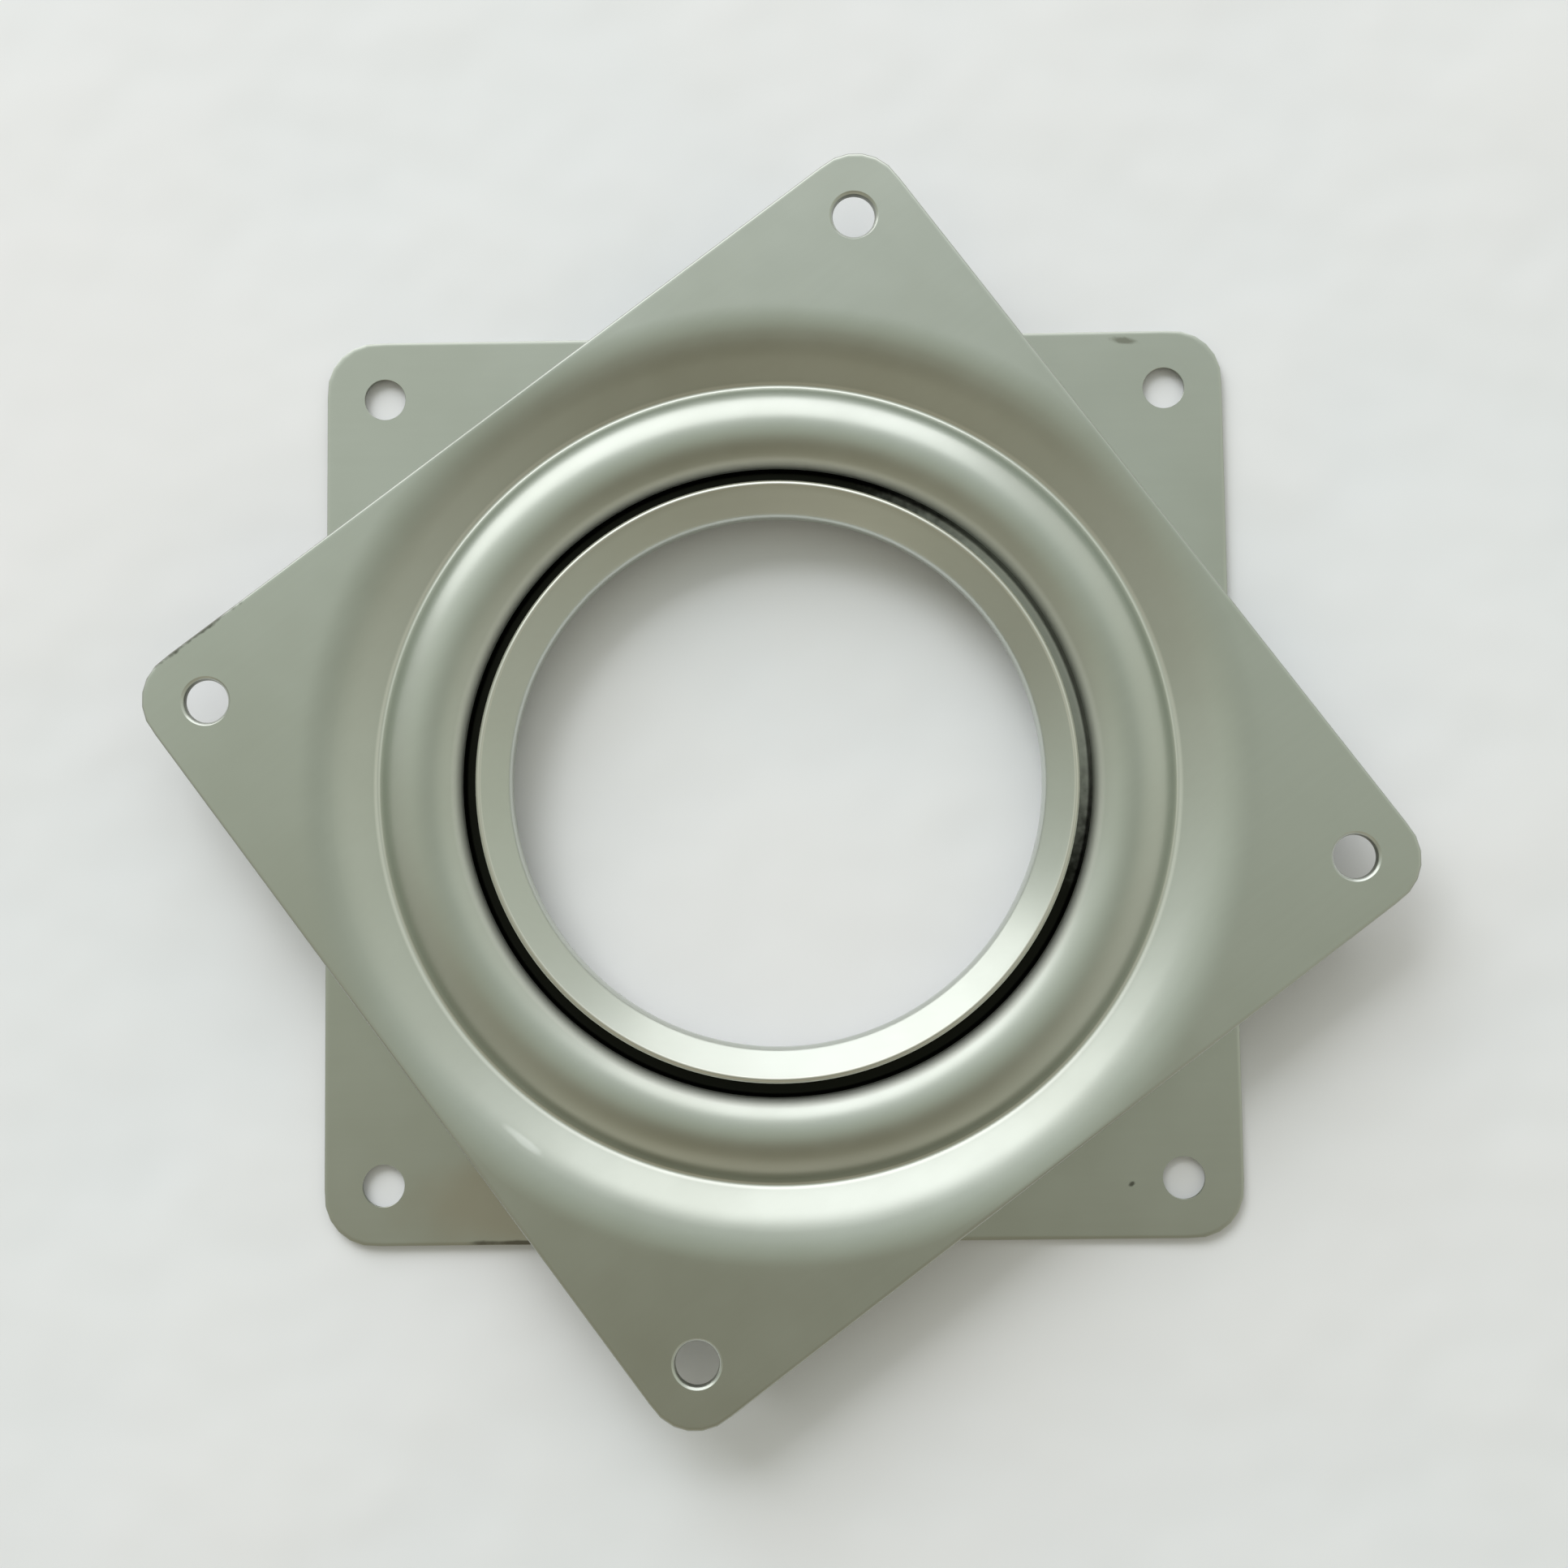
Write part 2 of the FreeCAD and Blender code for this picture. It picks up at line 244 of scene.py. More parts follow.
def ringSurface(name, section):
    # One face of the sheet: a circle, extruded ring by ring along the section, then out to the square.
    deselectAll()
    (radius, depth), rest = section[0], section[1:]
    bpy.ops.mesh.primitive_circle_add(vertices=pressing["spokes"], radius=radius * mm, location=(0, 0, 0))
    obj = bpy.context.object
    obj.name = name
    bpy.ops.object.mode_set(mode="EDIT")
    bpy.ops.mesh.select_all(action="SELECT")
    bpy.ops.transform.translate(value=(0, 0, depth * mm))
    for nextRadius, nextDepth in rest:
        grow = nextRadius / radius
        step = (0, 0, (nextDepth - depth) * mm)
        bpy.ops.mesh.extrude_region_move(TRANSFORM_OT_translate={"value": step})
        bpy.ops.transform.resize(value=(grow, grow, 1), center_override=(0, 0, 0))
        radius, depth = nextRadius, nextDepth
    for ring in range(1, pressing["shoulderRings"] + pressing["flatRings"] + 1):
        bpy.ops.mesh.extrude_region_move()
        mesh = bmesh.from_edit_mesh(obj.data)
        for vert in [vert for vert in mesh.verts if vert.select]:
            angle = math.atan2(vert.co.y, vert.co.x)
            out = outerRing(ring, outlineReach(angle))
            vert.co = Vector((math.cos(angle) * out, math.sin(angle) * out, flatDepth(out))) * mm
        bmesh.update_edit_mesh(obj.data)
    bpy.ops.mesh.select_all(action="SELECT")
    bpy.ops.mesh.normals_make_consistent(inside=False)
    bpy.ops.object.mode_set(mode="OBJECT")
    return obj


def onOutline(co, faceDepth):
    radius = math.hypot(co.x, co.y) / mm
    if radius < pressing["lastRing"]:
        return False
    reach = outlineReach(math.atan2(co.y, co.x))
    return abs(radius - reach) < nearEdge["outline"] and \
        abs(co.z / mm - flatDepth(radius) - faceDepth) < nearEdge["depth"]


def screwHoleCutter():
    # Four round punches, one for each hole.
    half = holeSpacing / 2
    punches = []
    for x, y in ((half, half), (-half, half), (-half, -half), (half, -half)):
        deselectAll()
        depth, extra = punchFlare[0]
        radius = holeRadius / mm + extra
        bpy.ops.mesh.primitive_circle_add(vertices=punchSides, radius=radius * mm, fill_type="NGON",
                                          location=(x, y, depth * mm))
        punch = bpy.context.object
        bpy.ops.object.transform_apply(location=True, rotation=True, scale=True)
        bpy.ops.object.mode_set(mode="EDIT")
        bpy.ops.mesh.select_all(action="SELECT")
        for nextDepth, nextExtra in punchFlare[1:]:
            nextRadius = holeRadius / mm + nextExtra
            grow = nextRadius / radius
            step = (0, 0, (nextDepth - depth) * mm)
            bpy.ops.mesh.extrude_region_move(TRANSFORM_OT_translate={"value": step})
            bpy.ops.transform.resize(value=(grow, grow, 1), center_override=(x, y, 0))
            radius, depth = nextRadius, nextDepth
        bpy.ops.mesh.select_all(action="SELECT")
        bpy.ops.mesh.normals_make_consistent(inside=False)
        bpy.ops.object.mode_set(mode="OBJECT")
        punches.append(punch)
    deselectAll()
    for punch in punches:
        punch.select_set(True)
    bpy.context.view_layer.objects.active = punches[0]
    bpy.ops.object.join()
    return bpy.context.object


def pressPlate(name, section, innerEdgeRound):
    plate = ringSurface(name, section)
    applyModifier(plate, "SOLIDIFY", thickness=pressing["gauge"] * mm, offset=solidifySide(plate),
                  use_even_offset=True)
    for faceDepth, roll, parts in ((0.0, pressing["edgeRoll"], pressing["edgeRollParts"]),
                                   (pressing["gauge"], pressing["burrEdge"], pressing["burrParts"])):
        selectEdges(plate, lambda co: onOutline(co, faceDepth))
        bpy.ops.mesh.bevel(offset=roll * mm, segments=parts, affect="EDGES", clamp_overlap=False)
        bpy.ops.object.mode_set(mode="OBJECT")
    roundInnerEdge(plate, section, innerEdgeRound)
    cutter = screwHoleCutter()
    applyModifier(plate, "BOOLEAN", operation="DIFFERENCE", object=cutter, solver="EXACT")
    bpy.data.objects.remove(cutter, do_unlink=True)
    makeActive(plate)
    bpy.ops.object.shade_smooth_by_angle(angle=math.radians(pressing["smoothAngle"]))
    print("pressed", name, len(plate.data.polygons), "faces")
    return plate


def solidifySide(plate):
    # The sheet's thickness goes to the ball side, away from the flat face.
    outward = max(plate.data.polygons, key=lambda face: face.center.to_2d().length)
    return -1 if outward.normal.z < 0 else 1


def roundInnerEdge(plate, section, offset):
    # The cut edge at the centre: both of its rings are rounded a little.
    first, second = Vector(section[0]), Vector(section[1])
    along = (second - first).normalized()
    across = Vector((-along.y, along.x))
    corners = [first, first + across * pressing["gauge"], first - across * pressing["gauge"]]

    def nearCorner(co):
        point = Vector((math.hypot(co.x, co.y) / mm, co.z / mm))
        return any((point - corner).length < nearEdge["corner"] for corner in corners)

    def isRing(edge):
        ends = [vert.co for vert in edge.verts]
        level = abs(ends[0].z - ends[1].z) < nearEdge["depth"] * mm
        return level and all(nearCorner(co) for co in ends)

    makeActive(plate)
    bpy.ops.object.mode_set(mode="EDIT")
    bpy.ops.mesh.select_mode(type="EDGE")
    mesh = bmesh.from_edit_mesh(plate.data)
    for edge in mesh.edges:
        edge.select_set(isRing(edge))
    mesh.select_flush_mode()
    bmesh.update_edit_mesh(plate.data)
    bpy.ops.mesh.bevel(offset=offset * mm, segments=pressing["innerEdgeParts"], affect="EDGES",
                       clamp_overlap=False)
    bpy.ops.object.mode_set(mode="OBJECT")


def markFaces(plate, label, wanted):
    # A face attribute that is 1 on the faces wanted, for the material.
    marks = plate.data.attributes.new(label, "FLOAT", "FACE")
    for index, face in enumerate(plate.data.polygons):
        marks.data[index].value = float(wanted(face, face.center.to_2d().length / mm))


def isShorn(face, radius):
    # The sheared walls of the outline and the screw holes.
    return radius > pressing["lastRing"] and abs(face.normal.z) < faceTest["wallRise"]


def isRolled(face, radius):
    # The rolled edge of the outline, which the material darkens with painted shade.
    reach = outlineReach(math.atan2(face.center.y, face.center.x) - plateTurn(face))
    rise = abs(face.normal.z)
    return radius > reach - faceTest["rollWidth"] and faceTest["wallRise"] <= rise < faceTest["rollRise"]


def plateTurn(face):
    # How far the outline of the face's plate is turned.
    return math.radians(pressing["topPlateTurn"]) if face.center.z > bearingHeight / 2 else 0.0


def isGroove(face, radius):
    # The upper plate's wall and lip, which line the groove behind the neck and take its painted shade.
    return radius < lip["wallRadius"] + faceTest["grooveSide"]


def isRim(face, radius):
    # The rounded end of the neck, which takes a painted highlight.
    rimSide = neck["height"] - faceTest["rimDepth"] - (radius - neck["rimRadius"]) * faceTest["rimSlope"]
    outward = face.center.to_2d()
    return neck["boreRadius"] < radius < lip["wallRadius"] and face.normal.z > faceTest["rimRise"] and \
        face.normal.to_2d().dot(outward) > faceTest["rimInward"] * outward.length and \
        face.center.z / mm > rimSide


# Upper plate: the bead ends in a short wall and a lip that points inwards

lip = {
    "wallRadius": 39.2,
    "beadEdgeBend": 1.08,
    "beadEdgeStep": 6.0,     # degrees between the points of the bend
    "lipBend": 0.4,
    "lipStep": 15.0,
    "depth": 4.6,
    "middleRadius": 37.0,
    "edgeRadius": 34.65,
    "edgeRound": 0.08,
}


def makeTopPlate():
    race = (pressing["raceRadius"], pressing["raceCentreDepth"])
    edgeX = lip["wallRadius"] + lip["beadEdgeBend"]
    reach = pressing["raceBend"] - lip["beadEdgeBend"]
    edge = (edgeX, race[1] - math.sqrt(reach ** 2 - (race[0] - edgeX) ** 2))
    raceStart = bearing(race, edge)
    foot = (lip["wallRadius"] - lip["lipBend"], lip["depth"] - lip["lipBend"])
    section = [(radius, lip["depth"]) for radius in (lip["edgeRadius"], lip["middleRadius"], foot[0])]
    section += arcPoints(foot, lip["lipBend"], 90, 0, lip["lipStep"])
    section += [(lip["wallRadius"], edge[1])]
    section += arcPoints(edge, lip["beadEdgeBend"], -180, raceStart, lip["beadEdgeStep"])
    section += sharedSection(raceStart)
    plate = pressPlate("top_pressing", section, lip["edgeRound"])
    turn = Matrix.Rotation(math.radians(pressing["topPlateTurn"]), 4, "Z")
    raised = Matrix.Translation((0, 0, bearingHeight))
    faceUp = Matrix.Rotation(math.pi, 4, "X")
    plate.matrix_world = raised @ turn @ faceUp
    makeActive(plate)
    bpy.ops.object.transform_apply(location=True, rotation=True, scale=True)
    markFaces(plate, "shornWall", isShorn)
    markFaces(plate, "rolledEdgeShade", isRolled)
    markFaces(plate, "grooveShade", isGroove)
    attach(plate, "turntable")
    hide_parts("top_plate")
    return plate


# Lower plate: the race runs out to a web, which turns up into the flared neck

neck = {
    "webBend": 1.0,
    "webStep": 5.0,          # degrees between the points of the bend
    "webDepth": 1.9,
    "webRing": 38.5,
    "neckBend": 2.75,
    "neckStep": 7.5,
    "flareBend": 1.4,
    "flareStep": 6.0,
    "flareDepth": 5.4,
    "flareAngle": 53.2,      # degrees
    "coneShares": (0, 0.3, 0.65, 1),
    "boreRadius": 33.2,
    "rimRadius": 36.95,      # where the cone ends, to find the faces of the rounded end
    "height": 8.9,
    "rimRound": 0.36,
}


def makeBasePlate():
    race = (pressing["raceRadius"], pressing["raceCentreDepth"])
    webY = neck["webDepth"] - neck["webBend"]
    webReach = pressing["raceBend"] + neck["webBend"]
    web = (race[0] - math.sqrt(webReach ** 2 - (race[1] - webY) ** 2), webY)
    raceStart = bearing(race, web)
    bottom = (neck["boreRadius"] + neck["neckBend"], neck["webDepth"] + neck["neckBend"])
    flare = (neck["boreRadius"] + neck["flareBend"], neck["flareDepth"])
    lean = math.radians(neck["flareAngle"])
    coneFoot = (flare[0] - neck["flareBend"] * math.cos(lean),
                flare[1] + neck["flareBend"] * math.sin(lean))
    rise = neck["height"] - coneFoot[1]
    rim = (coneFoot[0] + rise * math.tan(lean), neck["height"])
    section = [tuple(rim[i] + (coneFoot[i] - rim[i]) * share for i in (0, 1))
               for share in neck["coneShares"]]
    section += arcPoints(flare, neck["flareBend"], 180 - neck["flareAngle"], 180, neck["flareStep"])
    section.append((neck["boreRadius"], bottom[1]))
    section += arcPoints(bottom, neck["neckBend"], 180, 270, neck["neckStep"])
    section += [(neck["webRing"], neck["webDepth"]), (web[0], neck["webDepth"])]
    section += arcPoints(web, neck["webBend"], 90, raceStart + 180, neck["webStep"])
    section += sharedSection(raceStart)
    plate = pressPlate("base_pressing", section, neck["rimRound"])
    markFaces(plate, "shornWall", isShorn)
    markFaces(plate, "rolledEdgeShade", isRolled)
    markFaces(plate, "neckRimHighlight", isRim)
    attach(plate, "base")
    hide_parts("base_plate")
    return plate


# Shader node helpers

def newNode(tree, kind, **settings):
    made = tree.nodes.new(kind)
    for key, value in settings.items():
        setattr(made, key, value)
    return made


def wire(tree, source, target):
    tree.links.new(source, target)


def ramp(tree, stops, source):
    made = newNode(tree, "ShaderNodeValToRGB")
    elements = made.color_ramp.elements
    while len(elements) < len(stops):
        elements.new(1.0)
    for element, (place, colour) in zip(elements, stops):
        element.position = place
        element.color = (*colour, 1)
    wire(tree, source, made.inputs["Fac"])
    return made.outputs["Color"]


def newGroup(name, inputs, outputs):
    tree = bpy.data.node_groups.new(name, "ShaderNodeTree")
    for label, kind, value in inputs:
        socket = tree.interface.new_socket(label, in_out="INPUT", socket_type=kind)
        if value is not None:
            socket.default_value = value
    for label, kind in outputs:
        tree.interface.new_socket(label, in_out="OUTPUT", socket_type=kind)
    return tree, newNode(tree, "NodeGroupInput"), newNode(tree, "NodeGroupOutput")


def useGroup(tree, group, **values):
    made = newNode(tree, "ShaderNodeGroup", node_tree=group)
    for label, value in values.items():
        made.inputs[label].default_value = value
    return made


def newMaterial(name):
    material = bpy.data.materials.new(name)
    material.use_nodes = True
    tree = material.node_tree
    shader = tree.nodes["Principled BSDF"]
    return material, tree, shader


# Masks

maskShape = {
    "cloudDetail": 4,
    "cloudRoughness": 0.55,
    "cloudRange": (0.28, 0.72),    # the noise that becomes 0 and 1
    "grainScale": 90,
    "grainDetail": 1,
    "grainStretch": (1.0, 14.0, 14.0),
    "spotDetail": 3,
    "spotRagged": 4.0,
    "spotCore": 0.35,              # share of the reach that is covered in full
    "ringCore": 0.4,
}


def cloudGroup():
    # Cloudy patches, from 0 to 1.
    tree, given, result = newGroup(
        "cloudyPatches",
        [("Vector", "NodeSocketVector", None), ("Scale", "NodeSocketFloat", 60.0)],
        [("Mask", "NodeSocketFloat")])
    noise = newNode(tree, "ShaderNodeTexNoise")
    noise.inputs["Detail"].default_value = maskShape["cloudDetail"]
    noise.inputs["Roughness"].default_value = maskShape["cloudRoughness"]
    wire(tree, given.outputs["Vector"], noise.inputs["Vector"])
    wire(tree, given.outputs["Scale"], noise.inputs["Scale"])
    spread = newNode(tree, "ShaderNodeMapRange", interpolation_type="SMOOTHSTEP")
    low, high = maskShape["cloudRange"]
    spread.inputs["From Min"].default_value = low
    spread.inputs["From Max"].default_value = high
    wire(tree, noise.outputs["Fac"], spread.inputs["Value"])
    wire(tree, spread.outputs["Result"], result.inputs["Mask"])
    return tree


def grainGroup():
    # Fine streaks that rolling leaves along the sheet, from 0 to 1. Turn is the sheet's turn in radians.
    tree, given, result = newGroup(
        "rollingGrain",
        [("Vector", "NodeSocketVector", None), ("Turn", "NodeSocketFloat", 0.0)],
        [("Mask", "NodeSocketFloat")])
    spin = newNode(tree, "ShaderNodeVectorRotate", rotation_type="Z_AXIS")
    wire(tree, given.outputs["Vector"], spin.inputs["Vector"])
    wire(tree, given.outputs["Turn"], spin.inputs["Angle"])
    stretch = newNode(tree, "ShaderNodeVectorMath", operation="MULTIPLY")
    stretch.inputs[1].default_value = maskShape["grainStretch"]
    wire(tree, spin.outputs["Vector"], stretch.inputs[0])
    noise = newNode(tree, "ShaderNodeTexNoise")
    noise.inputs["Scale"].default_value = maskShape["grainScale"]
    noise.inputs["Detail"].default_value = maskShape["grainDetail"]
    wire(tree, stretch.outputs["Vector"], noise.inputs["Vector"])
    wire(tree, noise.outputs["Fac"], result.inputs["Mask"])
    return tree


def spotGroup():
    # A ragged oval spot: 1 at Place, fading to 0 at Reach from it. Turn is in radians.
    tree, given, result = newGroup(
        "raggedSpot",
        [("Vector", "NodeSocketVector", None), ("Place", "NodeSocketVector", None),
         ("Reach", "NodeSocketVector", (0.01, 0.01, 0.01)), ("Turn", "NodeSocketFloat", 0.0),
         ("Ragged", "NodeSocketFloat", 0.5), ("Scale", "NodeSocketFloat", 800.0)],
        [("Mask", "NodeSocketFloat")])
    shift = newNode(tree, "ShaderNodeVectorMath", operation="SUBTRACT")
    wire(tree, given.outputs["Vector"], shift.inputs[0])
    wire(tree, given.outputs["Place"], shift.inputs[1])
    spin = newNode(tree, "ShaderNodeVectorRotate", rotation_type="Z_AXIS", invert=True)
    wire(tree, shift.outputs["Vector"], spin.inputs["Vector"])
    wire(tree, given.outputs["Turn"], spin.inputs["Angle"])
    size = newNode(tree, "ShaderNodeVectorMath", operation="DIVIDE")
    wire(tree, spin.outputs["Vector"], size.inputs[0])
    wire(tree, given.outputs["Reach"], size.inputs[1])
    length = newNode(tree, "ShaderNodeVectorMath", operation="LENGTH")
    wire(tree, size.outputs["Vector"], length.inputs[0])
    noise = newNode(tree, "ShaderNodeTexNoise")
    noise.inputs["Detail"].default_value = maskShape["spotDetail"]
    wire(tree, given.outputs["Vector"], noise.inputs["Vector"])
    wire(tree, given.outputs["Scale"], noise.inputs["Scale"])
    centred = newNode(tree, "ShaderNodeMath", operation="SUBTRACT")
    centred.inputs[1].default_value = 0.5
    wire(tree, noise.outputs["Fac"], centred.inputs[0])
    rough = newNode(tree, "ShaderNodeMath", operation="MULTIPLY")
    wire(tree, centred.outputs["Value"], rough.inputs[0])
    wire(tree, given.outputs["Ragged"], rough.inputs[1])
    away = newNode(tree, "ShaderNodeMath", operation="MULTIPLY_ADD")
    away.inputs[1].default_value = maskShape["spotRagged"]
    wire(tree, rough.outputs["Value"], away.inputs[0])
    wire(tree, length.outputs["Value"], away.inputs[2])
    fade = newNode(tree, "ShaderNodeMapRange", interpolation_type="SMOOTHSTEP")
    fade.inputs["From Min"].default_value = 1.0
    fade.inputs["From Max"].default_value = maskShape["spotCore"]
    wire(tree, away.outputs["Value"], fade.inputs["Value"])
    wire(tree, fade.outputs["Result"], result.inputs["Mask"])
    return tree


def ringGroup():
    # A soft ring about the turning axis: 1 at Radius, fading to 0 at Width from it.
    tree, given, result = newGroup(
        "softRing",
        [("Vector", "NodeSocketVector", None), ("Radius", "NodeSocketFloat", 0.05),
         ("Width", "NodeSocketFloat", 0.001)],
        [("Mask", "NodeSocketFloat")])
    flat = newNode(tree, "ShaderNodeVectorMath", operation="MULTIPLY")
    flat.inputs[1].default_value = (1.0, 1.0, 0.0)
    wire(tree, given.outputs["Vector"], flat.inputs[0])
    length = newNode(tree, "ShaderNodeVectorMath", operation="LENGTH")
    wire(tree, flat.outputs["Vector"], length.inputs[0])
    away = newNode(tree, "ShaderNodeMath", operation="SUBTRACT")
    wire(tree, length.outputs["Value"], away.inputs[0])
    wire(tree, given.outputs["Radius"], away.inputs[1])
    apart = newNode(tree, "ShaderNodeMath", operation="ABSOLUTE")
    wire(tree, away.outputs["Value"], apart.inputs[0])
    share = newNode(tree, "ShaderNodeMath", operation="DIVIDE")
    wire(tree, apart.outputs["Value"], share.inputs[0])
    wire(tree, given.outputs["Width"], share.inputs[1])
    fade = newNode(tree, "ShaderNodeMapRange", interpolation_type="SMOOTHSTEP")
    fade.inputs["From Min"].default_value = 1.0
    fade.inputs["From Max"].default_value = maskShape["ringCore"]
    wire(tree, share.outputs["Value"], fade.inputs["Value"])
    wire(tree, fade.outputs["Result"], result.inputs["Mask"])
    return tree


def blend(tree, amount, low, high):
    # Mixes two colours; each of low and high is a socket or a fixed colour.
    made = newNode(tree, "ShaderNodeMix", data_type="RGBA")
    wire(tree, amount, made.inputs["Factor"])
    for socket, value in ((made.inputs[6], low), (made.inputs[7], high)):
        if isinstance(value, tuple):
            socket.default_value = (*value, 1)
        else:
            wire(tree, value, socket)
    return made.outputs[2]


def blendValue(tree, amount, low, high):
    made = newNode(tree, "ShaderNodeMix", data_type="FLOAT")
    wire(tree, amount, made.inputs["Factor"])
    for socket, value in ((made.inputs[2], low), (made.inputs[3], high)):
        if isinstance(value, float):
            socket.default_value = value
        else:
            wire(tree, value, socket)
    return made.outputs[0]


def timesValue(tree, source, factor):
    made = newNode(tree, "ShaderNodeMath", operation="MULTIPLY")
    wire(tree, source, made.inputs[0])
    if isinstance(factor, float):
        made.inputs[1].default_value = factor
    else:
        wire(tree, factor, made.inputs[1])
    return made.outputs["Value"]


# Zinc plated sheet: marks seen on each plate, in millimetres from the axis

def mark(place, reach, turn, ragged, scale, colour, amount):
    # Place and reach are in millimetres from the axis, turn in degrees, scale is the ragged edge's.
    return {"place": place, "reach": reach, "turn": turn, "ragged": ragged, "scale": scale,
            "colour": colour, "amount": amount}


lowerMarks = [
    # scuff near the edge
    mark((45.6, 56.75, 1), (2.4, 0.6, 3), -6, 0.4, 500, (0.20, 0.20, 0.16), 0.7),
    # fleck
    mark((43.95, -51.2, 1), (0.6, 0.4, 2), 30, 0.3, 800, (0.10, 0.10, 0.08), 0.85),
    # painted reflection: a brownish shade next to the upper plate's edge
    mark((-34.0, -53.0, 1), (17.0, 8.0, 9), 0, 0.2, 90, (0.50, 0.41, 0.30), 0.42),
    # dirty lower edge
    mark((-33.0, -57.75, 1), (7.5, 0.45, 3), 0, 0.3, 400, (0.12, 0.11, 0.09), 0.8),
]
upperMarks = [
    # scratch in the dish
    mark((-31.5, -44.0, 8), (3.9, 0.6, 4), -38, 0.15, 500, (0.92, 0.94, 0.92), 0.55),
    # rough edge at a corner
    mark((-71.9, 18.75, 9), (7.5, 0.5, 4), 36.55, 0.4, 700, (0.10, 0.10, 0.08), 0.85),
]
zincLook = {
    "paler": (0.645, 0.675, 0.635),
    "darker": (0.585, 0.61, 0.56),
    "wideScale": 24.0,
    "fineScale": 170.0,
    "grain": (0.5, 0.5, 0.47),
    "grainAmount": 0.12,
    "roughness": (0.285, 0.32),
    "dirtRoughness": 0.42,
    "scratchRoughness": 0.29,
    "scratchPaleness": 0.5,            # a mark paler than this is a scratch, not dirt
    "crease": (0.86, 0.87, 0.83),      # painted highlight, a pale line round the crease beside the bead
    "creaseRadius": 50.1,
    "creaseWidth": 0.55,
    "creaseAmount": 0.8,
    "beadEdge": (0.90, 0.92, 0.88),    # painted highlight, a pale ring along the bead's edge round the groove
    "beadEdgeRadius": 39.6,
    "beadEdgeWidth": 1.2,
    "beadEdgeAmount": 0.85,
    "beadEdgeRoughness": 0.52,
    "grooveLitSide": (30, 15, 5),          # painted light: the groove's painted shade is lighter on this side
    "grooveLitReach": 30.0,
    "grooveLitRagged": 0.1,
    "grooveLitShade": 0.35,
    "waveStrength": 0.12,
    "waveHeight": 0.3,                 # mm
}

# The groups of faces that look different from the open sheet. The rolled edge and the groove are darkened
# with painted shade, the neck's rim is paled with a painted highlight.
faceLook = {
    "shornWall": {"colour": (0.30, 0.30, 0.27), "amount": 0.8, "roughness": 0.55},
    # painted shade along the rolled edge
    "rolledEdgeShade": {"colour": (0.30, 0.30, 0.27), "amount": 0.5, "roughness": 0.4},
    # painted highlight on the neck's rim
    "neckRimHighlight": {"colour": (0.80, 0.79, 0.74), "amount": 0.9, "roughness": 0.3},
    "grooveShade": {"colour": (0.02, 0.021, 0.017), "amount": 1.0, "roughness": 0.5},    # painted shade, near black
}


def makeZinc(name, turn, marks, groups):
    material, tree, shader = newMaterial(name)
    position = newNode(tree, "ShaderNodeTexCoord").outputs["Object"]

    def masked(group, **values):
        made = useGroup(tree, groups[group], **values)
        wire(tree, position, made.inputs["Vector"])
        return made.outputs["Mask"]

    # A pale ring painted round the axis: a painted highlight.
    def paintedHighlightRing(label):
        radius, width = (zincLook[label + key] * mm for key in ("Radius", "Width"))
        return timesValue(tree, masked("ring", Radius=radius, Width=width), zincLook[label + "Amount"])

    wide = masked("cloud", Scale=zincLook["wideScale"])
    fine = masked("cloud", Scale=zincLook["fineScale"])
    grain = masked("grain", Turn=-math.radians(turn))
    colour = blend(tree, wide, zincLook["darker"], zincLook["paler"])
    colour = blend(tree, timesValue(tree, grain, zincLook["grainAmount"]), colour, zincLook["grain"])
    roughness = blendValue(tree, fine, *zincLook["roughness"])
    for spot in marks:
        place, reach = (tuple(value * mm for value in spot[key]) for key in ("place", "reach"))
        mask = masked("spot", Place=place, Reach=reach, Turn=math.radians(spot["turn"]),
                      Ragged=spot["ragged"], Scale=spot["scale"])
        mask = timesValue(tree, mask, spot["amount"])
        colour = blend(tree, mask, colour, spot["colour"])
        kind = "scratch" if spot["colour"][0] > zincLook["scratchPaleness"] else "dirt"
        roughness = blendValue(tree, mask, roughness, zincLook[kind + "Roughness"])
    # Painted highlight round the crease.
    colour = blend(tree, paintedHighlightRing("crease"), colour, zincLook["crease"])
    # Painted highlight along the bead's edge, with a rougher finish.
    beadEdge = paintedHighlightRing("beadEdge")
    colour = blend(tree, beadEdge, colour, zincLook["beadEdge"])
    roughness = blendValue(tree, beadEdge, roughness, zincLook["beadEdgeRoughness"])
    # Painted shade in the groove, lighter as painted light on the side where light reaches in.
    grooveLitSide = tuple(value * mm for value in zincLook["grooveLitSide"])
    litSide = masked("spot", Place=grooveLitSide, Reach=(zincLook["grooveLitReach"] * mm,) * 3,
                   Ragged=zincLook["grooveLitRagged"])
    ballFilmAndGrooveShade = blendValue(tree, litSide, faceLook["grooveShade"]["amount"], zincLook["grooveLitShade"])
    # Face groups: the shorn walls take the bare cut's colour, the rolled edge and the groove take painted
    # shade, the neck's rim a painted highlight.
    for label, look in faceLook.items():
        part = newNode(tree, "ShaderNodeAttribute", attribute_name=label).outputs["Fac"]
        part = timesValue(tree, part, ballFilmAndGrooveShade if label == "grooveShade" else look["amount"])
        colour = blend(tree, part, colour, look["colour"])
        roughness = blendValue(tree, part, roughness, look["roughness"])
    wire(tree, colour, shader.inputs["Base Color"])
    wire(tree, roughness, shader.inputs["Roughness"])
    shader.inputs["Metallic"].default_value = 1.0
    bump = newNode(tree, "ShaderNodeBump")
    bump.inputs["Strength"].default_value = zincLook["waveStrength"]
    bump.inputs["Distance"].default_value = zincLook["waveHeight"] * mm
    wire(tree, wide, bump.inputs["Height"])
    wire(tree, bump.outputs["Normal"], shader.inputs["Normal"])
    return material


